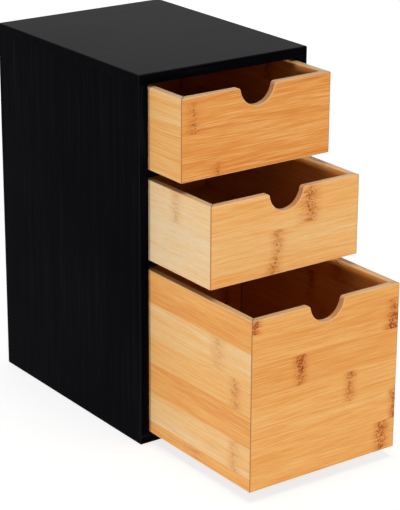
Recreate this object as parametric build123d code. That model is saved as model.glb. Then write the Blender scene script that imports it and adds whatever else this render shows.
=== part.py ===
from build123d import *
import os

# Desktop drawer unit: a black painted case of thin boards, and three bamboo drawers that slide out
# of its front. Millimetres. X is the width, the front faces -Y, Z is up. The origin is the centre
# of the case's underside. The drawers stand open by the amounts below.

# Case boards
case_width = 175.0
case_depth = 225.0
case_height = 330.0
board = 9.0              # top, bottom and sides
case_round = 1.2         # rounding of the outer edges
back_thickness = 5.0
back_recess = 4.0        # from the rear edges in to the back board
shelf_thickness = 6.0
shelf_setback = 0.6      # from the front edges in to a shelf's front edge
groove_depth = 3.0       # for the shelves and the back board
groove_stop = 8.0        # the shelves' grooves end this far behind the front edges
groove_play = 0.15       # between a board and each face of its groove

# Dowels that hold the top and bottom to the ends of the sides
dowel_diameter = 5.0
dowel_length = 18.0
dowel_in_cover = 5.0     # the length that stands in the top or bottom board
dowel_play = 0.08        # between a dowel and the wall of its hole
dowel_end_room = 0.5     # left past each end of a dowel
dowel_inset = 35.0       # from the front and rear edges to the first and last dowel
dowels_per_joint = 2

# Drawers
drawer_wall = 6.5
shallow_height = 71.0    # top and middle drawers; the bottom drawer takes the height that is left
side_gap = 1.5           # between a drawer and each side of the case
slide_gap = 0.3          # under a drawer
head_gap = 2.4           # over a drawer
rear_gap = 0.6           # behind a closed drawer
drawer_round = 1.0       # rounding of a wall's outer long edges and of the notch's front rim
inner_ease = 0.6         # bevel on its inner long edges and on the notch's rear rim
corner_ease = 0.4        # flat sanded on the upright corners
floor_thickness = 3.0
floor_lift = 4.0         # from a drawer's lower edge up to the groove for its floor
floor_groove_depth = 3.0
floor_play = 0.15        # between a floor and each face of its groove

# Finger notch in each drawer front
notch_depth = 17.0
notch_radius = 17.5
notch_shoulder = 3.0     # rounding where the notch meets the top edge

# How far each drawer is pulled out
top_pull = 45.0
middle_pull = 86.0
bottom_pull = 142.0

# Places that follow from the sizes
half_width = case_width / 2
front = -case_depth / 2
rear = case_depth / 2
inner_half = half_width - board
back_front = rear - back_recess - back_thickness
drawer_width = 2 * (inner_half - side_gap)
drawer_depth = back_front - rear_gap - front

top_base = case_height - board - head_gap - shallow_height
upper_shelf_base = top_base - slide_gap - shelf_thickness
middle_base = upper_shelf_base - head_gap - shallow_height
lower_shelf_base = middle_base - slide_gap - shelf_thickness
bottom_base = board + slide_gap
tall_height = lower_shelf_base - head_gap - bottom_base

dowel_pitch = (case_depth - 2 * dowel_inset) / (dowels_per_joint - 1)


def slab(x_limits, y_limits, z_limits):
    """Block between a low and a high limit on each axis."""
    limits = (x_limits, y_limits, z_limits)
    sizes = [high - low for low, high in limits]
    centre = [(low + high) / 2 for low, high in limits]
    return Pos(*centre) * Box(*sizes)


def dowel_places():
    """(x, y) of every dowel, over the middle of both side boards."""
    return [
        (side * (half_width - board / 2), front + dowel_inset + step * dowel_pitch)
        for side in (-1, 1)
        for step in range(dowels_per_joint)
    ]


def dowel_holes(z_low, z_high):
    """Upright holes for the dowels, between two heights."""
    hole = Cylinder(dowel_diameter / 2 + dowel_play, z_high - z_low)
    return [Pos(x, y, (z_low + z_high) / 2) * hole for x, y in dowel_places()]


def cover_board():
    """Top board, from z = 0 up. Upside down it is the bottom board."""
    cover = slab((-half_width, half_width), (front, rear), (0, board))
    outer_edges = cover.edges().filter_by(Axis.Z) + cover.edges().group_by(Axis.Z)[-1]
    cover = fillet(outer_edges, case_round)
    back_groove = slab(
        (-inner_half - groove_depth, inner_half + groove_depth),
        (back_front - groove_play, back_front + back_thickness + groove_play),
        (0, groove_depth),
    )
    return cover - back_groove - dowel_holes(0, dowel_in_cover + dowel_end_room)


def shelf_groove(shelf_base):
    """Stopped groove across the left side board for one shelf."""
    return slab(
        (-inner_half - groove_depth, -inner_half),
        (front + groove_stop - groove_play, back_front),
        (shelf_base - groove_play, shelf_base + shelf_thickness + groove_play),
    )


def side_board():
    """Left side board. Its mirror image is the right one."""
    side = slab((-half_width, -inner_half), (front, rear), (board, case_height - board))
    outer_edges = side.edges().filter_by(Axis.Z).group_by(Axis.X)[0]
    side = fillet(outer_edges, case_round)
    side -= slab(
        (-inner_half - groove_depth, -inner_half),
        (back_front - groove_play, back_front + back_thickness + groove_play),
        (board, case_height - board),
    )
    for shelf_base in (upper_shelf_base, lower_shelf_base):
        side -= shelf_groove(shelf_base)
    hole_depth = dowel_length - dowel_in_cover + dowel_end_room
    lower_holes = dowel_holes(board, board + hole_depth)
    upper_holes = dowel_holes(case_height - board - hole_depth, case_height - board)
    return side - lower_holes - upper_holes


def back_board():
    """Thin back, held in grooves on all four edges."""
    half = inner_half + groove_depth - groove_play
    low = board - groove_depth + groove_play
    return slab((-half, half), (back_front, back_front + back_thickness), (low, case_height - low))


def shelf(shelf_base):
    """Thin shelf. Its two tongues stop short of the front, so that the grooves don't show there."""
    heights = (shelf_base, shelf_base + shelf_thickness)
    tongue_half = inner_half + groove_depth - groove_play
    between_sides = slab((-inner_half, inner_half), (front + shelf_setback, back_front), heights)
    with_tongues = slab((-tongue_half, tongue_half), (front + groove_stop, back_front), heights)
    return between_sides + with_tongues


def dowels():
    """All dowels, each a solid of its own, standing in a side and in the top or bottom board."""
    dowel = Cylinder(dowel_diameter / 2, dowel_length)
    reach = board - dowel_in_cover + dowel_length / 2
    return Compound(children=[
        Pos(x, y, height) * dowel
        for x, y in dowel_places()
        for height in (reach, case_height - reach)
    ])


def wall_outline(length, height, notched):
    """Upright outline of a drawer wall, with the finger notch cut in its top edge where asked."""
    outline = Rectangle(length, height, align=(Align.CENTER, Align.MIN))
    if notched:
        outline -= Pos(0, height - notch_depth + notch_radius) * Circle(notch_radius)
        shoulders = outline.vertices().group_by(Axis.Y)[-1].sort_by(Axis.X)[1:-1]
        outline = fillet(shoulders, notch_shoulder)
    return outline


def mitred_plan(length):
    """Plan of a drawer wall: 45 degree mitres at both ends, with the sharp corners eased."""
    half = length / 2
    return Polygon(
        (-half + corner_ease, 0),
        (half - corner_ease, 0),
        (half - corner_ease / 2, corner_ease / 2),
        (half - drawer_wall, drawer_wall),
        (-half + drawer_wall, drawer_wall),
        (-half + corner_ease / 2, corner_ease / 2),
        align=None,
    )


def drawer_wall_board(length, height, notched=False):
    """Drawer wall along X. Its outer face is at y = 0 and looks towards -Y."""
    wall = extrude(Plane.XZ * wall_outline(length, height, notched), amount=-drawer_wall)
    outer_face = wall.faces().filter_by(Axis.Y).sort_by(Axis.Y)[0]
    wall = fillet(outer_face.edges().filter_by(Axis.Z, reverse=True), drawer_round)
    inner_face = wall.faces().filter_by(Axis.Y).sort_by(Axis.Y)[-1]
    wall = chamfer(inner_face.edges().filter_by(Axis.Z, reverse=True), inner_ease)
    wall &= extrude(mitred_plan(length), amount=height)
    groove_height = floor_thickness + 2 * floor_play
    return wall - slab(
        (-length, length),
        (drawer_wall - floor_groove_depth, drawer_wall),
        (floor_lift, floor_lift + groove_height),
    )


def drawer_floor(height_of_base):
    """Thin floor panel, centred on the drawer, held in the grooves of the four walls."""
    inset = drawer_wall - floor_groove_depth + floor_play
    half_x = drawer_width / 2 - inset
    half_y = drawer_depth / 2 - inset
    low = height_of_base + floor_lift + floor_play
    return slab((-half_x, half_x), (-half_y, half_y), (low, low + floor_thickness))


def drawer(name, base, height, pull):
    """The five boards of one drawer, by node name, pulled out of the case."""
    front_wall = drawer_wall_board(drawer_width, height, notched=True)
    back_wall = drawer_wall_board(drawer_width, height)
    side_wall = drawer_wall_board(drawer_depth, height)
    middle = front - pull + drawer_depth / 2
    place = Pos(0, middle, base)
    return {
        f"{name}_drawer_front": place * Pos(0, -drawer_depth / 2, 0) * front_wall,
        f"{name}_drawer_back": place * Pos(0, drawer_depth / 2, 0) * Rot(0, 0, 180) * back_wall,
        f"{name}_drawer_left_side": place * Pos(-drawer_width / 2, 0, 0) * Rot(0, 0, -90) * side_wall,
        f"{name}_drawer_right_side": place * Pos(drawer_width / 2, 0, 0) * Rot(0, 0, 90) * side_wall,
        f"{name}_drawer_floor": Pos(0, middle, 0) * drawer_floor(base),
    }


def case():
    """The boards and dowels of the case, by node name."""
    cover = cover_board()
    left_side = side_board()
    return {
        "case_top": Pos(0, 0, case_height - board) * cover,
        "case_bottom": Pos(0, 0, board) * Rot(0, 180, 0) * cover,
        "case_left_side": left_side,
        "case_right_side": mirror(left_side, Plane.YZ),
        "case_back": back_board(),
        "upper_shelf": shelf(upper_shelf_base),
        "lower_shelf": shelf(lower_shelf_base),
        "case_dowels": dowels(),
    }


def write_parts():
    """One STEP file for each node, under the node's name."""
    nodes = case()
    nodes.update(drawer("top", top_base, shallow_height, top_pull))
    nodes.update(drawer("middle", middle_base, shallow_height, middle_pull))
    nodes.update(drawer("bottom", bottom_base, tall_height, bottom_pull))
    os.makedirs("parts", exist_ok=True)
    for name, shape in nodes.items():
        export_step(shape, f"parts/{name}.step")


write_parts()
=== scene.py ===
"""Looks, light and camera for the desktop drawer unit: a black painted case and three bamboo drawers.

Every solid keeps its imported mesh. Each one gets a node material that is worked out from its own
place in the frame, so that grain runs along each board and moves with it. Lengths are in metres.
"""
import math
import random

import bpy
from mathutils import Matrix, Vector


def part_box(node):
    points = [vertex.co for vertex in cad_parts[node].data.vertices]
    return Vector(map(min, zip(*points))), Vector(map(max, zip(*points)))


MM = 0.001
X_AXIS, Y_AXIS, Z_AXIS = 0, 1, 2

# Node sockets that share their name with another one, by number
MAP_LOW, MAP_HIGH, MAP_TO_LOW, MAP_TO_HIGH = 1, 2, 3, 4
MIX_SHARE, MIX_FIRST, MIX_SECOND, MIX_RESULT = 0, 6, 7, 2

# Camera, at the photograph's viewing angle
LOOK_AT = Vector((47.05, -12.5, 117.64)) * MM
CAMERA_AZIMUTH = math.radians(-35.87)
CAMERA_ELEVATION = math.radians(19.97)
CAMERA_ROLL = math.radians(0.30)
CAMERA_DISTANCE = 1810.66 * MM
LENS_MM = 138.5          # on Blender's 36 mm sensor, which lies along the image's long side

# Light. The key and the side fill stand almost level, so that little of their light gets into the
# drawers. Mirrored rays see the rim lamp only: the others would glare on the case top.
WORLD_LEVEL = 0.06
LAMPS = {
    # name: (azimuth, elevation, angular size, strength, mirrored), in degrees and W/m2
    "key": (-25, 1.5, 3, 2.58, False),
    "side_fill": (-92, 1.5, 3, 1.17, False),
    "overhead": (0, 90, 30, 1.00, False),
    "right_fill": (85, 6, 12, 1.10, False),
    "back_fill": (-170, 6, 12, 1.10, False),
    "rim": (144, 20, 30, 0.17, True),
}
LAMP_DISTANCE = 2.0      # of its place in the scene only: a sun lamp lights the same from anywhere
FLOOR_COLOUR = 0.5
FLOOR_TOP_UP = 0.78      # glow that background rays see on the lit floor, which makes it white
FLOOR_RADIUS = 12.0
FLOOR_CORNERS = 64

# Bamboo boards are glued up from flat strips, each with its own tone and its own knuckle marks
STRIP_HEIGHT = 27.6 * MM

# Scales of the grain (along, up, through) a board, in features per metre
SWAY_SCALE = (9, 30, 30)
BAND_SCALE = (5, 75, 45)
WIDE_STREAK_SCALE = (12, 340, 260)
THIN_STREAK_SCALE = (26, 820, 700)
HAIRLINE_SCALE = (24, 1250, 900)
FIBRE_SCALE = (130, 3000, 2100)
SWAY = 5 * MM            # how far the grain wanders up and down
WIDE_STREAK_SHARE = 0.35
THIN_STREAK_SHARE = 0.65
JOINT_LINE = (0.05 * MM, 0.45 * MM)    # the line between two strips fades out between these

# How much of the grain shows
BAND_SWING = 0.42
STREAK_SWING = 1.0
DEEP_STREAK_SWING = 0.8                # added on the darkest strips
DEEP_TONES = (0.18, 0.44)              # darkest up to the first tone, plain from the second
ORANGE_LINES = (0.51, 0.66)            # hairline noise at which they start and are full
ORANGE_BOLDNESS = (0.75, 0.25)         # on the darkest and on the palest strips
BOLDNESS_TONES = (0.15, 1.0)
DEEP_LINE_PATCHES = (0.42, 0.58)       # band noise over which deep lines fade
DEEP_LINE_LEAST = 0.25
PALE_LINES = (0.32, 0.47)
PALE_SHARE = 0.30
DEEP_PALE_SHARE = 0.15                 # added on the darkest strips
FIBRES = (0.50, 0.70)
FIBRE_SHARE = 0.25
JOINT_SHARE = 0.07
END_GRAIN_FIBRES = (0.35, 0.75, 0.55, 1.0)
# Share of the painted highlight on rounded edges
EDGE_HIGHLIGHT_SHARE = 0.55
# Share of the painted highlight on faces that look straight up or down
LEVEL_FACE_HIGHLIGHT_SHARE = 0.60
GLUE_SHARE = 0.75
GLUE_START = 0.15 * MM
FRONT_GLUE_WIDTH = 0.9 * MM
SIDE_GLUE_WIDTH = 0.4 * MM
WOOD_SPECULAR = 0.20

# Knuckle marks. Their reaches are shares of a mark's own reach.
WANDER_SCALE = (30, 110, 95)
WANDER = 8 * MM
BLOTCH_SCALE = (90, 330, 260)
DOT_SCALE = (470, 560, 300)
STRIP_EDGE = 0.6 * MM                  # softness of a mark's upper and lower end
STAIN_REACH = (0.10, 2.20)
FLECK_REACH = (0.10, 1.70)
CORE_REACH = (0.0, 0.8)
CORE_SHARE = 0.6
STAIN_SHARE = 0.90
FLECK_SHARE = 0.95

# Knuckles and tones of boards that the photograph doesn't show
MARK_CHANCE = 0.6
MARK_END_ROOM = 14                     # mm from a board's ends
MARK_REACH = (5, 7.5)                  # mm
MARK_STRENGTH = (0.4, 0.85)
MARK_LEAN = (-0.5, 0.5)
TONE_SPREAD = 0.13
MIDDLE_TONES = {"top": 0.38, "middle": 0.55, "bottom": 0.46}

PAINT_IOR = 1.042        # far below real paint's, because the photographed case mirrors so little


class Tree:
    """Adds nodes to a node tree, and links or sets their inputs."""

    def __init__(self, tree):
        self.tree = tree

    def node(self, kind, inputs=None, **settings):
        """New node. Inputs are given by name or number, as a value or as a socket to link from."""
        made = self.tree.nodes.new(kind)
        for name, value in settings.items():
            setattr(made, name, value)
        for key, value in (inputs or {}).items():
            self.feed(made.inputs[key], value)
        return made

    def feed(self, socket, value):
        """Links an input to a socket, or sets it to a value."""
        if isinstance(value, bpy.types.NodeSocket):
            self.tree.links.new(value, socket)
        else:
            socket.default_value = value

    def math(self, operation, *values, clamp=False):
        inputs = dict(enumerate(values))
        made = self.node("ShaderNodeMath", inputs, operation=operation, use_clamp=clamp)
        return made.outputs[0]

    def add(self, *values):
        total = values[0]
        for value in values[1:]:
            total = self.math("ADD", total, value)
        return total

    def times(self, *values):
        total = values[0]
        for value in values[1:]:
            total = self.math("MULTIPLY", total, value)
        return total

    def less(self, value, taken):
        return self.math("SUBTRACT", value, taken)

    def size(self, value):
        """The value without its sign."""
        return self.math("ABSOLUTE", value)

    def swing(self, noise, amount):
        """Noise moved from about 0.5 to about 0, times an amount."""
        return self.times(self.less(noise, 0.5), amount)

    def ramp_up(self, value, low, high, to_low=0.0, to_high=1.0):
        """Smooth step from to_low to to_high as the value goes from low to high."""
        made = self.node(
            "ShaderNodeMapRange",
            {"Value": value, MAP_LOW: low, MAP_HIGH: high, MAP_TO_LOW: to_low, MAP_TO_HIGH: to_high},
            interpolation_type="SMOOTHSTEP",
        )
        return made.outputs[0]

    def ramp_down(self, value, low, high):
        """Smooth step from 1 to 0 as the value goes from low to high."""
        return self.ramp_up(value, low, high, 1.0, 0.0)

    def vector(self, x, y, z):
        return self.node("ShaderNodeCombineXYZ", {"X": x, "Y": y, "Z": z}).outputs[0]

    def split(self, vector):
        return self.node("ShaderNodeSeparateXYZ", {"Vector": vector}).outputs

    def vector_math(self, operation, vector, other):
        made = self.node("ShaderNodeVectorMath", {0: vector, 1: other}, operation=operation)
        return made.outputs[0]

    def scaled(self, vector, scale):
        return self.vector_math("MULTIPLY", vector, scale)

    def shifted(self, vector, shift):
        return self.vector_math("ADD", vector, shift)

    def noise(self, vector, scale, detail=2.0, roughness=0.5):
        """Noise about 0.5, with a scale for each axis, in features per metre."""
        made = self.node(
            "ShaderNodeTexNoise",
            {
                "Vector": self.scaled(vector, scale),
                "Scale": 1.0,
                "Detail": detail,
                "Roughness": roughness,
            },
        )
        return made.outputs["Fac"]

    def colours(self, value, stops, interpolation="LINEAR"):
        """Colour ramp through (position, colour) stops."""
        made = self.node("ShaderNodeValToRGB", {0: value})
        ramp = made.color_ramp
        ramp.interpolation = interpolation
        while len(ramp.elements) < len(stops):
            ramp.elements.new(1.0)
        for element, (position, rgb) in zip(ramp.elements, stops):
            element.position = position
            element.color = opaque(rgb)
        return made.outputs[0]

    def mix(self, share, first, second):
        """Colour that goes from the first to the second as the share goes from 0 to 1."""
        inputs = {MIX_SHARE: share, MIX_FIRST: first, MIX_SECOND: second}
        return self.node("ShaderNodeMix", inputs, data_type="RGBA").outputs[MIX_RESULT]

    def bump(self, height, strength, distance):
        inputs = {"Height": height, "Strength": strength, "Distance": distance}
        return self.node("ShaderNodeBump", inputs).outputs[0]


def colour(red, green, blue):
    """Linear colour from the 0 to 255 values that a picture of it shows, by the sRGB curve."""
    return tuple(
        value / 255 / 12.92 if value < 10.3 else ((value / 255 + 0.055) / 1.055) ** 2.4
        for value in (red, green, blue)
    )


def opaque(rgb):
    return (*rgb, 1.0)


def new_material(name):
    """Empty node material, its tree helper and its Principled shader."""
    material = bpy.data.materials.new(name)
    material.use_nodes = True
    material.node_tree.nodes.clear()
    tree = Tree(material.node_tree)
    shader = tree.node("ShaderNodeBsdfPrincipled")
    tree.node("ShaderNodeOutputMaterial", {"Surface": shader.outputs[0]})
    return material, tree, shader


def new_group(name, values, results):
    """Empty node group that takes a place and some values, and gives some values.

    Returns the group, its tree helper, the sockets of what it takes and the inputs for its results.
    """
    group = bpy.data.node_groups.new(name, "ShaderNodeTree")
    group.interface.new_socket("Place", in_out="INPUT", socket_type="NodeSocketVector")
    for value in values:
        group.interface.new_socket(value, in_out="INPUT", socket_type="NodeSocketFloat")
    for result in results:
        group.interface.new_socket(result, in_out="OUTPUT", socket_type="NodeSocketFloat")
    tree = Tree(group)
    given = tree.node("NodeGroupInput").outputs
    return group, tree, given, tree.node("NodeGroupOutput").inputs


# Bamboo -----------------------------------------------------------------------------------------

def knuckle_group():
    """One knuckle mark: the dark speckled band where a cane's joint crosses a strip."""
    group, tree, given, made = new_group(
        "knuckle",
        ("Along", "Low", "High", "Reach", "Strength", "Lean"),
        ("Stain", "Flecks"),
    )
    along, up, _ = tree.split(given["Place"])
    wander = tree.swing(tree.noise(given["Place"], WANDER_SCALE), WANDER)
    offset = tree.size(tree.less(tree.add(along, wander), given["Along"]))
    share = tree.math("DIVIDE", offset, given["Reach"])
    above = tree.ramp_up(tree.less(up, given["Low"]), -STRIP_EDGE, STRIP_EDGE)
    below = tree.ramp_up(tree.less(given["High"], up), -STRIP_EDGE, STRIP_EDGE)
    height = tree.math(
        "DIVIDE", tree.less(up, given["Low"]), tree.less(given["High"], given["Low"])
    )
    lean = tree.add(1.0, tree.times(given["Lean"], tree.less(tree.times(height, 2.0), 1.0)))
    level = tree.times(above, below, lean, given["Strength"])

    blotch = tree.noise(given["Place"], BLOTCH_SCALE, detail=3.0, roughness=0.65)
    stain = tree.times(tree.ramp_down(share, *STAIN_REACH), level)
    stain = tree.times(stain, tree.ramp_up(blotch, 0.30, 0.62, 0.35, 1.0))
    cells = tree.node(
        "ShaderNodeTexVoronoi",
        {"Vector": tree.scaled(given["Place"], DOT_SCALE), "Scale": 1.0},
    ).outputs
    dots = tree.ramp_down(cells["Distance"], 0.22, 0.62)
    luck = tree.split(cells["Color"])[0]
    near = tree.times(tree.ramp_down(share, *FLECK_REACH), level)
    flecks = tree.times(dots, tree.ramp_up(tree.add(luck, near), 0.75, 1.20), near)
    core = tree.times(tree.ramp_down(share, *CORE_REACH), level)
    core_flecks = tree.times(core, tree.ramp_up(blotch, 0.42, 0.66), CORE_SHARE)
    tree.feed(made["Stain"], stain)
    tree.feed(made["Flecks"], tree.add(flecks, core_flecks))
    return group


def grain_group():
    """Grain of flat bamboo strips: broad bands, streaks and fine fibres along each strip."""
    group, tree, given, made = new_group(
        "bamboo_grain",
        ("Seed", "First joint"),
        ("Bands", "Streaks", "Hairlines", "Fibres", "Joint"),
    )
    up = tree.split(given["Place"])[1]
    from_joint = tree.less(up, given["First joint"])
    number = tree.math("FLOOR", tree.math("DIVIDE", from_joint, STRIP_HEIGHT))
    strip_seed = tree.node(
        "ShaderNodeTexWhiteNoise",
        {"Vector": tree.vector(number, given["Seed"], 0.0)},
        noise_dimensions="3D",
    ).outputs["Color"]
    own_place = tree.shifted(given["Place"], strip_seed)
    sway = tree.swing(tree.noise(own_place, SWAY_SCALE, detail=1.0), SWAY)
    own_along, own_up, own_through = tree.split(own_place)
    swayed = tree.vector(own_along, tree.add(own_up, sway), own_through)
    wide = tree.noise(swayed, WIDE_STREAK_SCALE, roughness=0.6)
    thin = tree.noise(swayed, THIN_STREAK_SCALE, roughness=0.7)
    streaks = tree.add(tree.times(wide, WIDE_STREAK_SHARE), tree.times(thin, THIN_STREAK_SHARE))
    to_joint = tree.math("PINGPONG", from_joint, STRIP_HEIGHT / 2)
    tree.feed(made["Bands"], tree.noise(swayed, BAND_SCALE, detail=1.0))
    tree.feed(made["Streaks"], streaks)
    tree.feed(made["Hairlines"], tree.noise(swayed, HAIRLINE_SCALE, roughness=0.65))
    tree.feed(made["Fibres"], tree.noise(swayed, FIBRE_SCALE, roughness=0.6))
    tree.feed(made["Joint"], tree.ramp_down(to_joint, *JOINT_LINE))
    return group


BAMBOO_STOPS = [
    (0.00, colour(220, 138, 60)),
    (0.30, colour(228, 155, 79)),
    (0.55, colour(238, 176, 101)),
    (0.80, colour(239, 196, 134)),
    (1.00, colour(236, 210, 170)),
]
STAIN_COLOUR = opaque(colour(208, 124, 56))
ORANGE_LINE_COLOUR = opaque(colour(228, 140, 58))
DEEP_LINE_COLOUR = opaque(colour(196, 108, 44))
PALE_LINE_COLOUR = opaque(colour(250, 208, 144))
FLECK_COLOUR = opaque(colour(140, 58, 12))
GLUE_COLOUR = opaque(colour(130, 78, 44))
END_GRAIN_COLOUR = opaque(colour(203, 148, 108))
# Painted highlight on rounded edges
EDGE_HIGHLIGHT_COLOUR = opaque(colour(243, 200, 146))
# Painted highlight on faces that look straight up or down
LEVEL_FACE_HIGHLIGHT_COLOUR = opaque(colour(255, 224, 176))


def board_place(tree, node, along_axis, outward):
    """Place on a board, and its normal, both as (along, up, through).

    The place is measured from the board's low end, its lower edge and its outer face.
    """
    low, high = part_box(node)
    coordinates = tree.node("ShaderNodeTexCoord").outputs
    spot = tree.split(coordinates["Object"])
    normal = tree.split(coordinates["Normal"])
    through_axis = 1 - along_axis
    along = tree.less(spot[along_axis], low[along_axis])
    up = tree.less(spot[Z_AXIS], low[Z_AXIS])
    if outward < 0:
        through = tree.less(spot[through_axis], low[through_axis])
    else:
        through = tree.less(high[through_axis], spot[through_axis])
    return (along, up, through), (normal[along_axis], normal[Z_AXIS], normal[through_axis])


def grained_look(tree, grain, tone):
    """Colour of the strips: bands and streaks, then orange and pale lines, fibres and joints."""
    depth = tree.ramp_down(tone, *DEEP_TONES)
    streak_swing = tree.add(STREAK_SWING, tree.times(depth, DEEP_STREAK_SWING))
    pale = tree.add(
        tone,
        tree.swing(grain["Bands"], BAND_SWING),
        tree.swing(grain["Streaks"], streak_swing),
    )
    look = tree.colours(pale, BAMBOO_STOPS)
    orange_line = tree.ramp_up(grain["Hairlines"], *ORANGE_LINES)
    boldness = tree.ramp_up(tone, *BOLDNESS_TONES, *ORANGE_BOLDNESS)
    patch = tree.ramp_up(grain["Bands"], *DEEP_LINE_PATCHES, 1.0, DEEP_LINE_LEAST)
    line_colour = tree.mix(tree.times(depth, patch), ORANGE_LINE_COLOUR, DEEP_LINE_COLOUR)
    look = tree.mix(tree.times(orange_line, boldness), look, line_colour)
    pale_line = tree.ramp_down(grain["Hairlines"], *PALE_LINES)
    paleness = tree.add(PALE_SHARE, tree.times(depth, DEEP_PALE_SHARE))
    look = tree.mix(tree.times(pale_line, paleness), look, PALE_LINE_COLOUR)
    fibre = tree.ramp_up(grain["Fibres"], *FIBRES)
    look = tree.mix(tree.times(fibre, FIBRE_SHARE), look, ORANGE_LINE_COLOUR)
    return tree.mix(tree.times(grain["Joint"], JOINT_SHARE), look, GLUE_COLOUR)


def marked(tree, look, place, lowest, marks):
    """The look with knuckle marks on it. The lowest strip starts at the height lowest."""
    for strip, mark_along, reach, strength, lean in marks:
        mark = tree.node(
            "ShaderNodeGroup",
            {
                "Place": place,
                "Along": mark_along * MM,
                "Low": lowest + strip * STRIP_HEIGHT,
                "High": lowest + (strip + 1) * STRIP_HEIGHT,
                "Reach": reach * MM,
                "Strength": strength,
                "Lean": lean,
            },
            node_tree=GROUPS["knuckle"],
        ).outputs
        stain = tree.math("MULTIPLY", mark["Stain"], STAIN_SHARE, clamp=True)
        flecks = tree.math("MULTIPLY", mark["Flecks"], FLECK_SHARE, clamp=True)
        look = tree.mix(stain, look, STAIN_COLOUR)
        look = tree.mix(flecks, look, FLECK_COLOUR)
    return look


def bamboo_board(node, along_axis, outward, first_joint, tones, marks, seed, glue_width):
    """Material of one drawer wall.

    tones: how pale each strip is, from the lowest up, about 0 to 1. marks: (strip, along in mm,
    reach in mm, strength, lean) of each knuckle; a lean above 0 is darkest at the strip's top.
    """
    low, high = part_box(node)
    length = (high - low)[along_axis]
    height = (high - low)[Z_AXIS]
    material, tree, shader = new_material(f"bamboo_{node}")
    (along, up, through), facing = board_place(tree, node, along_axis, outward)
    place = tree.vector(along, up, through)
    grain = tree.node(
        "ShaderNodeGroup",
        {"Place": place, "Seed": float(seed), "First joint": first_joint},
        node_tree=GROUPS["grain"],
    ).outputs

    lowest = first_joint - STRIP_HEIGHT if first_joint > 0 else first_joint
    stops = [
        (max(0.0, (lowest + strip * STRIP_HEIGHT) / height), (tone,) * 3)
        for strip, tone in enumerate(tones)
    ]
    tone = tree.colours(tree.math("DIVIDE", up, height), stops, "CONSTANT")
    look = marked(tree, grained_look(tree, grain, tone), place, lowest, marks)

    cut_across = tree.ramp_up(tree.size(facing[0]), 0.10, 0.60)
    end_speck = tree.ramp_up(grain["Fibres"], *END_GRAIN_FIBRES)
    look = tree.mix(tree.times(cut_across, end_speck), look, END_GRAIN_COLOUR)

    # Painted highlight: the rounding between a face and the board's edges is made paler.
    squareness = tree.size(facing[2])
    edge_highlight = tree.times(
        tree.ramp_up(squareness, 0.15, 0.65), tree.ramp_down(squareness, 0.85, 0.995)
    )
    look = tree.mix(tree.times(edge_highlight, EDGE_HIGHLIGHT_SHARE), look, EDGE_HIGHLIGHT_COLOUR)
    # Painted highlight: faces that look straight up or down, except end grain, are made paler.
    level_face_highlight = tree.times(
        tree.ramp_up(tree.size(facing[1]), 0.80, 0.98), tree.less(1.0, cut_across)
    )
    look = tree.mix(tree.times(level_face_highlight, LEVEL_FACE_HIGHLIGHT_SHARE), look, LEVEL_FACE_HIGHLIGHT_COLOUR)

    from_end = tree.math("MINIMUM", along, tree.less(length, along))
    glue = tree.ramp_down(tree.less(from_end, through), GLUE_START, glue_width)
    look = tree.mix(tree.times(glue, GLUE_SHARE), look, GLUE_COLOUR)

    relief = tree.add(tree.times(grain["Fibres"], 0.6), tree.times(grain["Streaks"], 0.4))
    tree.feed(shader.inputs["Base Color"], look)
    tree.feed(shader.inputs["Roughness"], tree.add(0.40, tree.times(grain["Streaks"], 0.16)))
    tree.feed(shader.inputs["Specular IOR Level"], WOOD_SPECULAR)
    tree.feed(shader.inputs["Normal"], tree.bump(relief, 0.22, 0.12 * MM))
    return material


def veneer(node, seed):
    """Material of a drawer floor: bamboo ply with a wide, calm face veneer."""
    material, tree, shader = new_material(f"bamboo_ply_{node}")
    on_board, _ = board_place(tree, node, Y_AXIS, -1)
    place = tree.shifted(tree.vector(*on_board), (seed * 1.7, seed * 0.9, seed * 2.3))
    bands = tree.noise(place, (5, 60, 60))
    streaks = tree.noise(place, (18, 400, 400), detail=3.0, roughness=0.6)
    fibres = tree.noise(place, (120, 2600, 2600))
    pale = tree.add(0.55, tree.swing(bands, 0.6), tree.swing(streaks, 0.7))
    look = tree.colours(pale, BAMBOO_STOPS)
    look = tree.mix(tree.ramp_up(fibres, 0.5, 0.75, 0.0, 0.3), look, STAIN_COLOUR)
    tree.feed(shader.inputs["Base Color"], look)
    tree.feed(shader.inputs["Roughness"], tree.add(0.48, tree.times(streaks, 0.12)))
    tree.feed(shader.inputs["Specular IOR Level"], WOOD_SPECULAR)
    tree.feed(shader.inputs["Normal"], tree.bump(fibres, 0.3, 0.1 * MM))
    return material


def scattered_marks(count, length_mm, seed):
    """Knuckles for a board that the photograph doesn't show: one on most strips."""
    draw = random.Random(seed)
    return [
        (strip, draw.uniform(MARK_END_ROOM, length_mm - MARK_END_ROOM), draw.uniform(*MARK_REACH),
         draw.uniform(*MARK_STRENGTH), draw.uniform(*MARK_LEAN))
        for strip in range(count)
        if draw.random() < MARK_CHANCE
    ]


def scattered_tones(count, middle, seed):
    """Strip tones for a board that the photograph doesn't show."""
    draw = random.Random(seed)
    return [middle + draw.uniform(-TONE_SPREAD, TONE_SPREAD) for _ in range(count)]


# Paint and dowels -------------------------------------------------------------------------------

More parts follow.
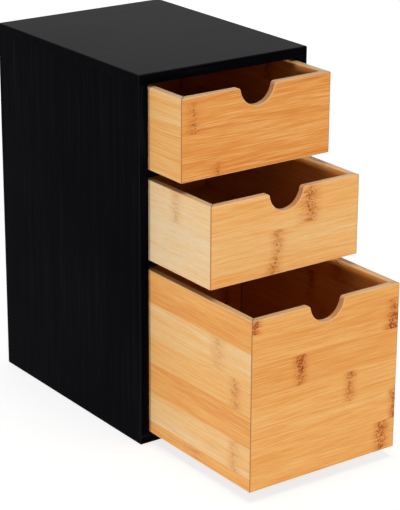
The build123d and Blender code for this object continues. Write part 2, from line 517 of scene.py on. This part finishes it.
def paint(node, along_axis, seed):
    """Black paint rolled on board, with the wood's grain telling faintly along the board."""
    material, tree, shader = new_material(f"black_paint_{node}")
    coordinates = tree.node("ShaderNodeTexCoord").outputs
    facing = [tree.size(part) for part in tree.split(coordinates["Normal"])]
    place = tree.shifted(coordinates["Object"], (seed, seed * 0.7, seed * 1.3))

    def along(lengthwise, across):
        return tuple(lengthwise if axis == along_axis else across for axis in range(3))

    streaks = tree.noise(place, along(6, 480), detail=3.0, roughness=0.6)
    pores = tree.noise(place, along(45, 1500), roughness=0.6)
    cloud = tree.noise(place, (11, 11, 11))
    orange_peel = tree.noise(place, (900, 900, 900), detail=1.0)
    level = tree.add(
        0.35, tree.swing(streaks, 1.5), tree.swing(cloud, 0.5), tree.swing(pores, 0.5)
    )
    look = tree.colours(
        level, [(0.0, colour(1, 1, 3)), (0.5, colour(7, 7, 10)), (1.0, colour(28, 28, 34))]
    )
    # Rounded edges turn a lighter grey: partly worn paint, partly a painted highlight.
    squareness = tree.math("MAXIMUM", tree.math("MAXIMUM", facing[0], facing[1]), facing[2])
    edge_highlight = tree.ramp_down(squareness, 0.75, 0.97)
    look = tree.mix(tree.times(edge_highlight, 0.6), look, opaque(colour(32, 31, 30)))
    relief = tree.add(
        tree.times(pores, 0.5), tree.times(streaks, 0.4), tree.times(orange_peel, 0.2)
    )
    tree.feed(shader.inputs["Base Color"], look)
    tree.feed(shader.inputs["Roughness"], tree.add(0.30, tree.times(streaks, 0.14)))
    tree.feed(shader.inputs["IOR"], PAINT_IOR)
    tree.feed(shader.inputs["Normal"], tree.bump(relief, 0.25, 0.1 * MM))
    return material


def beech(node):
    """Pale beech of the dowels, with short lengthwise flecks."""
    material, tree, shader = new_material(f"beech_{node}")
    spot = tree.node("ShaderNodeTexCoord").outputs["Object"]
    streaks = tree.noise(spot, (900, 900, 60), detail=3.0)
    stops = [
        (0.3, colour(176, 128, 84)),
        (0.5, colour(205, 162, 116)),
        (0.7, colour(221, 184, 142)),
    ]
    tree.feed(shader.inputs["Base Color"], tree.colours(streaks, stops))
    tree.feed(shader.inputs["Roughness"], tree.add(0.5, tree.times(streaks, 0.2)))
    tree.feed(shader.inputs["Normal"], tree.bump(streaks, 0.3, 0.1 * MM))
    return material


# Dressing ---------------------------------------------------------------------------------------

# Drawer walls that the photograph shows: first joint in mm, tones and knuckles of the strips
# The left sides' strips are paler than the fronts' partly as painted sheen; the rest is their own
# tone.
SEEN_WALLS = {
    "bottom_drawer_front": (
        27.6,
        (0.46, 0.48, 0.51, 0.41, 0.46, 0.46),
        ((5, 3, 5, 1.0, 0.0), (4, 149, 7, 1.0, -0.5), (3, 50, 5, 1.0, 0.45), (2, 103, 5, 0.7, 0.1),
         (1, 152, 4, 0.95, 0.0), (0, 139, 6, 1.0, 0.2)),
    ),
    "bottom_drawer_left_side": (
        11.2,
        (0.46, 0.76, 0.42, 0.64, 0.78, 0.44, 0.54),
        ((0, 76, 14, 0.28, 0.0), (1, 22, 6, 0.36, 0.0), (3, 21, 6, 0.45, 0.1), (4, 45, 8, 0.28, 0.2)),
    ),
    "middle_drawer_front": (
        11.3,
        (0.58, 0.66, 0.60, 0.62),
        ((0, 64, 6, 0.6, 0.3), (1, 68, 5, 0.6, 0.0), (2, 101, 8, 0.75, 0.1), (3, 101, 8, 0.6, 0.0)),
    ),
    "middle_drawer_left_side": (
        16.5,
        (0.98, 0.96, 0.94, 0.94),
        ((2, 48, 6, 0.30, 0.0),),
    ),
    "top_drawer_front": (
        12.3,
        (0.20, 0.26, 0.22, 0.20),
        ((0, 36, 5, 0.5, 0.0), (2, 12, 6, 0.55, -0.2)),
    ),
    "top_drawer_left_side": (
        18.0,
        (0.62, 0.58, 0.66, 0.6),
        (),
    ),
}

# Axis that each wall lies along, and the side of its outer face on the other level axis
WALLS = {
    "front": (X_AXIS, -1),
    "back": (X_AXIS, 1),
    "left_side": (Y_AXIS, -1),
    "right_side": (Y_AXIS, 1),
}

# Axis that the grain of each painted board runs along
CASE_BOARDS = {
    "case_top": X_AXIS,
    "case_bottom": X_AXIS,
    "case_left_side": Z_AXIS,
    "case_right_side": Z_AXIS,
    "case_back": Z_AXIS,
    "upper_shelf": X_AXIS,
    "lower_shelf": X_AXIS,
}
FIRST_SEED = 10
SEED_STEP = 7
PAINT_SEED_STEP = 0.37


def strip_count(height, first_joint):
    """Strips on a board, with the part strip under the first joint."""
    return 1 + math.ceil((height - first_joint) / STRIP_HEIGHT)


def dress_wall(node, along_axis, outward, seed):
    """Material of one drawer wall, from the photograph where it shows the wall."""
    low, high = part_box(node)
    length_mm = (high - low)[along_axis] / MM
    height = (high - low)[Z_AXIS]
    if node in SEEN_WALLS:
        first_joint, tones, marks = SEEN_WALLS[node]
        first_joint *= MM
    else:
        first_joint = random.Random(seed).uniform(0.3, 1.0) * STRIP_HEIGHT
        count = strip_count(height, first_joint)
        tones = scattered_tones(count, MIDDLE_TONES[node.split("_")[0]], seed + 1)
        marks = scattered_marks(count, length_mm, seed + 2)
    glue_width = FRONT_GLUE_WIDTH if along_axis == X_AXIS else SIDE_GLUE_WIDTH
    return bamboo_board(node, along_axis, outward, first_joint, tones, marks, seed, glue_width)


def put_on(piece, material):
    for slot in piece.material_slots:
        slot.material = material


def dress(nodes):
    """Gives each CAD node its material."""
    seed = FIRST_SEED
    for drawer in ("top", "middle", "bottom"):
        for wall, (along_axis, outward) in WALLS.items():
            node = f"{drawer}_drawer_{wall}"
            seed += SEED_STEP
            put_on(nodes[node], dress_wall(node, along_axis, outward, seed))
        node = f"{drawer}_drawer_floor"
        put_on(nodes[node], veneer(node, seed))
    for number, (node, along_axis) in enumerate(CASE_BOARDS.items()):
        put_on(nodes[node], paint(node, along_axis, PAINT_SEED_STEP * number))
    put_on(nodes["case_dowels"], beech("case_dowels"))


# Stage ------------------------------------------------------------------------------------------

def background_share(tree):
    """1 for rays that look at the background: the camera's, mirrored ones and those through glass."""
    path = tree.node("ShaderNodeLightPath").outputs
    share = tree.math("MAXIMUM", path["Is Camera Ray"], path["Is Glossy Ray"])
    return tree.math("MAXIMUM", share, path["Is Transmission Ray"])


def make_floor():
    """Grey paper floor. It takes the shadow, glows for background rays and is clear from below."""
    mesh = bpy.data.meshes.new("studio_floor")
    angles = [math.tau * step / FLOOR_CORNERS for step in range(FLOOR_CORNERS)]
    corners = [
        (FLOOR_RADIUS * math.cos(angle), FLOOR_RADIUS * math.sin(angle), 0.0) for angle in angles
    ]
    mesh.from_pydata(corners, [], [tuple(range(FLOOR_CORNERS))])
    floor = bpy.data.objects.new("studio_floor", mesh)
    bpy.context.scene.collection.objects.link(floor)

    material = bpy.data.materials.new("studio_floor")
    material.use_nodes = True
    material.node_tree.nodes.clear()
    tree = Tree(material.node_tree)
    paper = tree.node("ShaderNodeBsdfDiffuse", {"Color": opaque((FLOOR_COLOUR,) * 3)})
    lift = tree.node(
        "ShaderNodeEmission", {"Strength": tree.times(background_share(tree), FLOOR_TOP_UP)}
    )
    lit = tree.node("ShaderNodeAddShader", {0: paper.outputs[0], 1: lift.outputs[0]})
    below = tree.node("ShaderNodeNewGeometry").outputs["Backfacing"]
    clear = tree.node("ShaderNodeBsdfTransparent")
    both = tree.node("ShaderNodeMixShader", {0: below, 1: lit.outputs[0], 2: clear.outputs[0]})
    tree.node("ShaderNodeOutputMaterial", {"Surface": both.outputs[0]})
    mesh.materials.append(material)


def make_world():
    """White for background rays, and a low level of light for all others."""
    world = bpy.data.worlds.new("studio")
    world.use_nodes = True
    world.node_tree.nodes.clear()
    tree = Tree(world.node_tree)
    level = tree.node(
        "ShaderNodeMapRange",
        {"Value": background_share(tree), MAP_TO_LOW: WORLD_LEVEL, MAP_TO_HIGH: 1.0},
    ).outputs[0]
    sky = tree.node("ShaderNodeBackground", {"Color": (1.0, 1.0, 1.0, 1.0), "Strength": level})
    tree.node("ShaderNodeOutputWorld", {"Surface": sky.outputs[0]})
    bpy.context.scene.world = world


def direction(azimuth, elevation):
    """From the object towards a place seen at that azimuth and elevation, in radians."""
    return Vector((
        math.sin(azimuth) * math.cos(elevation),
        -math.cos(azimuth) * math.cos(elevation),
        math.sin(elevation),
    ))


def make_lamps():
    for name, (azimuth, elevation, size, strength, mirrored) in LAMPS.items():
        lamp = bpy.data.lights.new(name, "SUN")
        lamp.energy = strength
        lamp.angle = math.radians(size)
        placed = bpy.data.objects.new(name, lamp)
        towards = direction(math.radians(azimuth), math.radians(elevation))
        placed.visible_glossy = mirrored
        placed.location = towards * LAMP_DISTANCE
        placed.rotation_euler = (-towards).to_track_quat("-Z", "Y").to_euler()
        bpy.context.scene.collection.objects.link(placed)


def make_camera():
    lens = bpy.data.cameras.new("camera")
    lens.lens = LENS_MM
    camera = bpy.data.objects.new("camera", lens)
    back = direction(CAMERA_AZIMUTH, CAMERA_ELEVATION)
    turn = (-back).to_track_quat("-Z", "Y").to_matrix() @ Matrix.Rotation(CAMERA_ROLL, 3, "Z")
    camera.matrix_world = Matrix.Translation(LOOK_AT + back * CAMERA_DISTANCE) @ turn.to_4x4()
    bpy.context.scene.collection.objects.link(camera)
    bpy.context.scene.camera = camera


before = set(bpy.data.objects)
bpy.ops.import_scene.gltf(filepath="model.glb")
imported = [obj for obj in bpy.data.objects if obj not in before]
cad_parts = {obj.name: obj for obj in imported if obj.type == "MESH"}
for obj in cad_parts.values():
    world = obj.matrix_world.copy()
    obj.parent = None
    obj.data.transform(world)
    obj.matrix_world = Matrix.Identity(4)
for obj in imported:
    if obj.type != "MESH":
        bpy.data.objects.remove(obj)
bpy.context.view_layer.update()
GROUPS = {"knuckle": knuckle_group(), "grain": grain_group()}
dress(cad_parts)
make_floor()
make_world()
make_lamps()
make_camera()
bpy.context.scene.view_settings.view_transform = "Standard"
